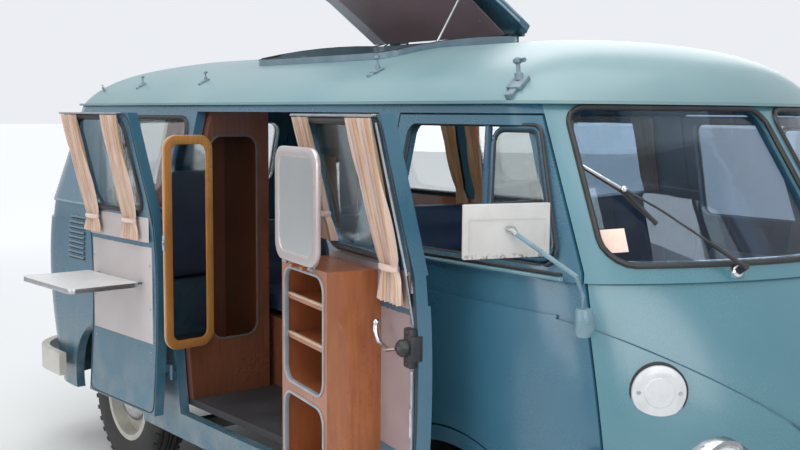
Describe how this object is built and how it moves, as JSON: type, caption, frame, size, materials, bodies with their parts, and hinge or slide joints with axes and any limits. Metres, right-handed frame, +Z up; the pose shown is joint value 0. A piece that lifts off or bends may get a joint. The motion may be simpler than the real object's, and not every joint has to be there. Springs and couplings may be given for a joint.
{
  "type": "camper van",
  "caption": "Full-size panel camper van with split windscreen, rear engine, paired loading doors with cabinet and table, tipped roof hatch and wardrobe.",
  "frame": {"origin": "on the road, below the middle of the whole's bounding box", "axes": "+X forward, +Y to the van's left, +Z up"},
  "size_m": [4.254, 2.3789, 2.364],
  "materials": {
    "paint": "satin",
    "paint_roof": "satin",
    "underbody": "matte",
    "engine_metal": "matte",
    "glass": "clear",
    "plywood": "satin",
    "plywood_frame": "satin",
    "table_top": "satin",
    "curtain_cloth": "matte",
    "seat_vinyl": "satin",
    "dash_paint": "satin",
    "black_plastic": "satin",
    "rim_paint": "satin",
    "tyre_rubber": "matte",
    "lamp_glass": "clear",
    "signal_lens": "satin",
    "tail_lens": "gloss",
    "cream_plate": "satin",
    "bumper_paint": "satin",
    "steel": "satin",
    "mirror_face": "polished"
  },
  "bodies": {
    "body": {"nose_panel": "paint", "screen_frame": "paint", "side_left": "paint", "frame_right": "paint", "quarter_right": "paint", "tail_panel": "paint", "roof": "paint_roof", "hatch_collar": "paint", "cab_door_right": "paint", "windscreen": "glass", "side_glass": "glass", "floor": "underbody", "wheel_wells": "underbody", "engine_deck": "underbody", "chassis": "underbody", "bumpers": "bumper_paint", "wardrobe": "plywood", "galley": "plywood", "bench_base": "plywood", "bench_cushions": "seat_vinyl", "seat_base": "dash_paint", "cab_seat": "seat_vinyl", "dashboard": "dash_paint", "steering_column": "black_plastic", "front_axle": "underbody", "rear_axle": "underbody", "engine": "engine_metal", "headlamps": "lamp_glass", "turn_signals": "signal_lens", "tail_lamps": "tail_lens", "mirror_right": "cream_plate"},
    "cab_door_left": {"cab_door_left": "paint", "mirror_left": "cream_plate"},
    "loading_door_front": {"load_door_front": "paint", "glass_load_front": "glass", "door_cabinet": "plywood", "curtains_front": "curtain_cloth"},
    "loading_door_rear": {"load_door_rear": "paint", "glass_load_rear": "glass", "curtains_rear": "curtain_cloth"},
    "mirror_flap": {"mirror_flap": "mirror_face"},
    "table": {"door_table": "table_top"},
    "tailgate": {"tailgate": "paint", "glass_tailgate": "glass"},
    "engine_lid": {"engine_lid": "paint"},
    "hatch_lid": {"hatch_lid": "paint"},
    "hatch_stay": {"hatch_stay": "steel"},
    "wardrobe_door": {"wardrobe_door": "plywood_frame"},
    "steering_wheel": {"steering_wheel": "black_plastic"},
    "knuckle_left": {"knuckle_left": "underbody"},
    "knuckle_right": {"knuckle_right": "underbody"},
    "wheel_front_left": {"rim_front_left": "rim_paint", "tyre_front_left": "tyre_rubber"},
    "wheel_front_right": {"rim_front_right": "rim_paint", "tyre_front_right": "tyre_rubber"},
    "wheel_rear_left": {"rim_rear_left": "rim_paint", "tyre_rear_left": "tyre_rubber"},
    "wheel_rear_right": {"rim_rear_right": "rim_paint", "tyre_rear_right": "tyre_rubber"}
  },
  "joints": [
    {"name": "cab_door_left_hinge", "type": "hinge", "parent": "body", "child": "cab_door_left", "pos_m": [1.675, 0.959, 0.62], "axis": [0, 0, -1], "range_deg": [0, 70]},
    {"name": "loading_door_front_hinge", "type": "hinge", "parent": "body", "child": "loading_door_front", "pos_m": [0.655, -0.783, 0.62], "axis": [0, 0, 1], "range_deg": [-168, 0]},
    {"name": "loading_door_rear_hinge", "type": "hinge", "parent": "body", "child": "loading_door_rear", "pos_m": [-0.545, -0.783, 0.62], "axis": [0, 0, -1], "range_deg": [-178, 0]},
    {"name": "mirror_flap_hinge", "type": "hinge", "parent": "loading_door_front", "child": "mirror_flap", "pos_m": [0.80061, -1.06954, 1.235], "axis": [-0.9781, 0.2079, 0], "range_deg": [-176, 0]},
    {"name": "table_hinge", "type": "hinge", "parent": "loading_door_rear", "child": "table", "pos_m": [-0.86965, -0.87038, 0.981], "axis": [-0.9994, -0.0349, 0], "range_deg": [-90, 0]},
    {"name": "tailgate_hinge", "type": "hinge", "parent": "body", "child": "tailgate", "pos_m": [-1.95, 0.099, 1.686], "axis": [0, 1, 0], "range_deg": [0, 80]},
    {"name": "engine_lid_hinge", "type": "hinge", "parent": "body", "child": "engine_lid", "pos_m": [-2.091, 0.099, 0.942], "axis": [0, 1, 0], "range_deg": [0, 60]},
    {"name": "hatch_lid_hinge", "type": "hinge", "parent": "body", "child": "hatch_lid", "pos_m": [-0.15, 0.386, 2.01], "axis": [-1, 0, 0], "range_deg": [-34, 0]},
    {"name": "hatch_stay_pivot", "type": "hinge", "parent": "hatch_lid", "child": "hatch_stay", "pos_m": [0.284, 0.06068, 2.17505], "axis": [1, 0, 0], "range_deg": [-78, 0]},
    {"name": "wardrobe_door_hinge", "type": "hinge", "parent": "body", "child": "wardrobe_door", "pos_m": [-0.483, -0.625, 0.86], "axis": [0, 0, -1], "range_deg": [-174, 0]},
    {"name": "steering_column_bearing", "type": "hinge", "parent": "body", "child": "steering_wheel", "pos_m": [1.39, 0.489, 1.1], "axis": [-0.4562, 0, 0.8899], "range_deg": [-380, 380]},
    {"name": "kingpin_left", "type": "hinge", "parent": "body", "child": "knuckle_left", "pos_m": [1.135, 0.664, 0.34], "axis": [0, 0, 1], "range_deg": [-26, 26]},
    {"name": "kingpin_right", "type": "hinge", "parent": "body", "child": "knuckle_right", "pos_m": [1.135, -0.466, 0.34], "axis": [0, 0, 1], "range_deg": [-26, 26]},
    {"name": "front_left_spin", "type": "hinge", "parent": "knuckle_left", "child": "wheel_front_left", "pos_m": [1.135, 0.7865, 0.34], "axis": [0, 1, 0], "continuous": true},
    {"name": "front_right_spin", "type": "hinge", "parent": "knuckle_right", "child": "wheel_front_right", "pos_m": [1.135, -0.5885, 0.34], "axis": [0, 1, 0], "continuous": true},
    {"name": "rear_left_spin", "type": "hinge", "parent": "body", "child": "wheel_rear_left", "pos_m": [-1.265, 0.779, 0.34], "axis": [0, 1, 0], "continuous": true},
    {"name": "rear_right_spin", "type": "hinge", "parent": "body", "child": "wheel_rear_right", "pos_m": [-1.265, -0.581, 0.34], "axis": [0, 1, 0], "continuous": true}
  ],
  "couplings": [
    {"joint": "kingpin_right", "follows": "kingpin_left", "ratio": 1},
    {"joint": "steering_column_bearing", "follows": "kingpin_left", "ratio": 14.5},
    {"joint": "wardrobe_door_hinge", "follows": "loading_door_rear_hinge", "ratio": 0.97753},
    {"joint": "hatch_stay_pivot", "follows": "hatch_lid_hinge", "ratio": 2.2941}
  ]
}
